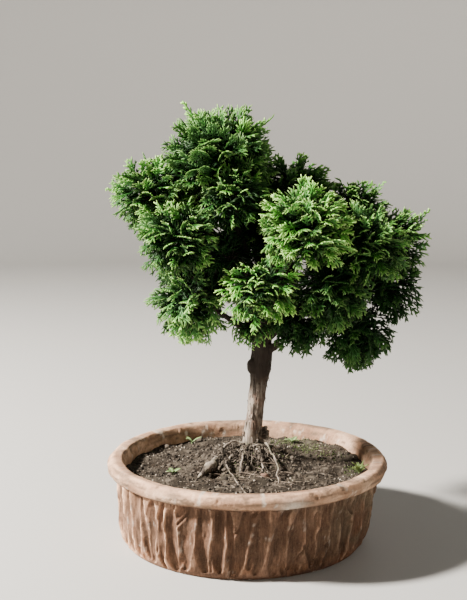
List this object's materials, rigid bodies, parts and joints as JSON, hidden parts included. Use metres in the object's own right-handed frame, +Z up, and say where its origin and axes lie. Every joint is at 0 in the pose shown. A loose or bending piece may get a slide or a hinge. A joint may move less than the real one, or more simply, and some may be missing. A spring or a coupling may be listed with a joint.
{
  "type": "bonsai tree in a pot",
  "caption": "Dwarf hinoki cypress bonsai with a dense clumped crown, bare trunk and gripping surface roots, in a round bark-textured terracotta bowl of dark soil.",
  "frame": {"origin": "on the flat underside of the bowl, below the middle of its rim", "axes": "+Z up along the height of the tree, -Y towards the side that the picture is taken from, +X to the right in the picture"},
  "size_m": [0.2265, 0.1991, 0.3055],
  "materials": {
    "terracotta": "matte",
    "soil": "matte",
    "bark": "matte",
    "foliage": "satin",
    "seedlings": "satin"
  },
  "bodies": {
    "root": {"pot": "terracotta", "soil": "soil", "wood": "bark", "foliage_dome": "foliage", "foliage_dome_front": "foliage", "foliage_dome_back": "foliage", "foliage_left": "foliage", "foliage_left_middle": "foliage", "foliage_left_inner": "foliage", "foliage_left_low": "foliage", "foliage_left_back": "foliage", "foliage_left_back_low": "foliage", "foliage_front_right": "foliage", "foliage_front_low": "foliage", "foliage_front_far": "foliage", "foliage_top_back": "foliage", "foliage_right_top": "foliage", "foliage_right": "foliage", "foliage_right_low": "foliage", "foliage_right_inner": "foliage", "foliage_right_hanging": "foliage", "foliage_centre_hanging": "foliage", "foliage_trunk_hanging": "foliage", "foliage_back": "foliage", "foliage_back_low": "foliage", "foliage_right_back": "foliage", "foliage_right_back_low": "foliage", "foliage_middle": "foliage", "foliage_right_middle": "foliage", "seedling_left": "seedlings", "seedling_back": "seedlings", "seedling_right": "seedlings", "grass_tuft": "seedlings"}
  },
  "joints": []
}
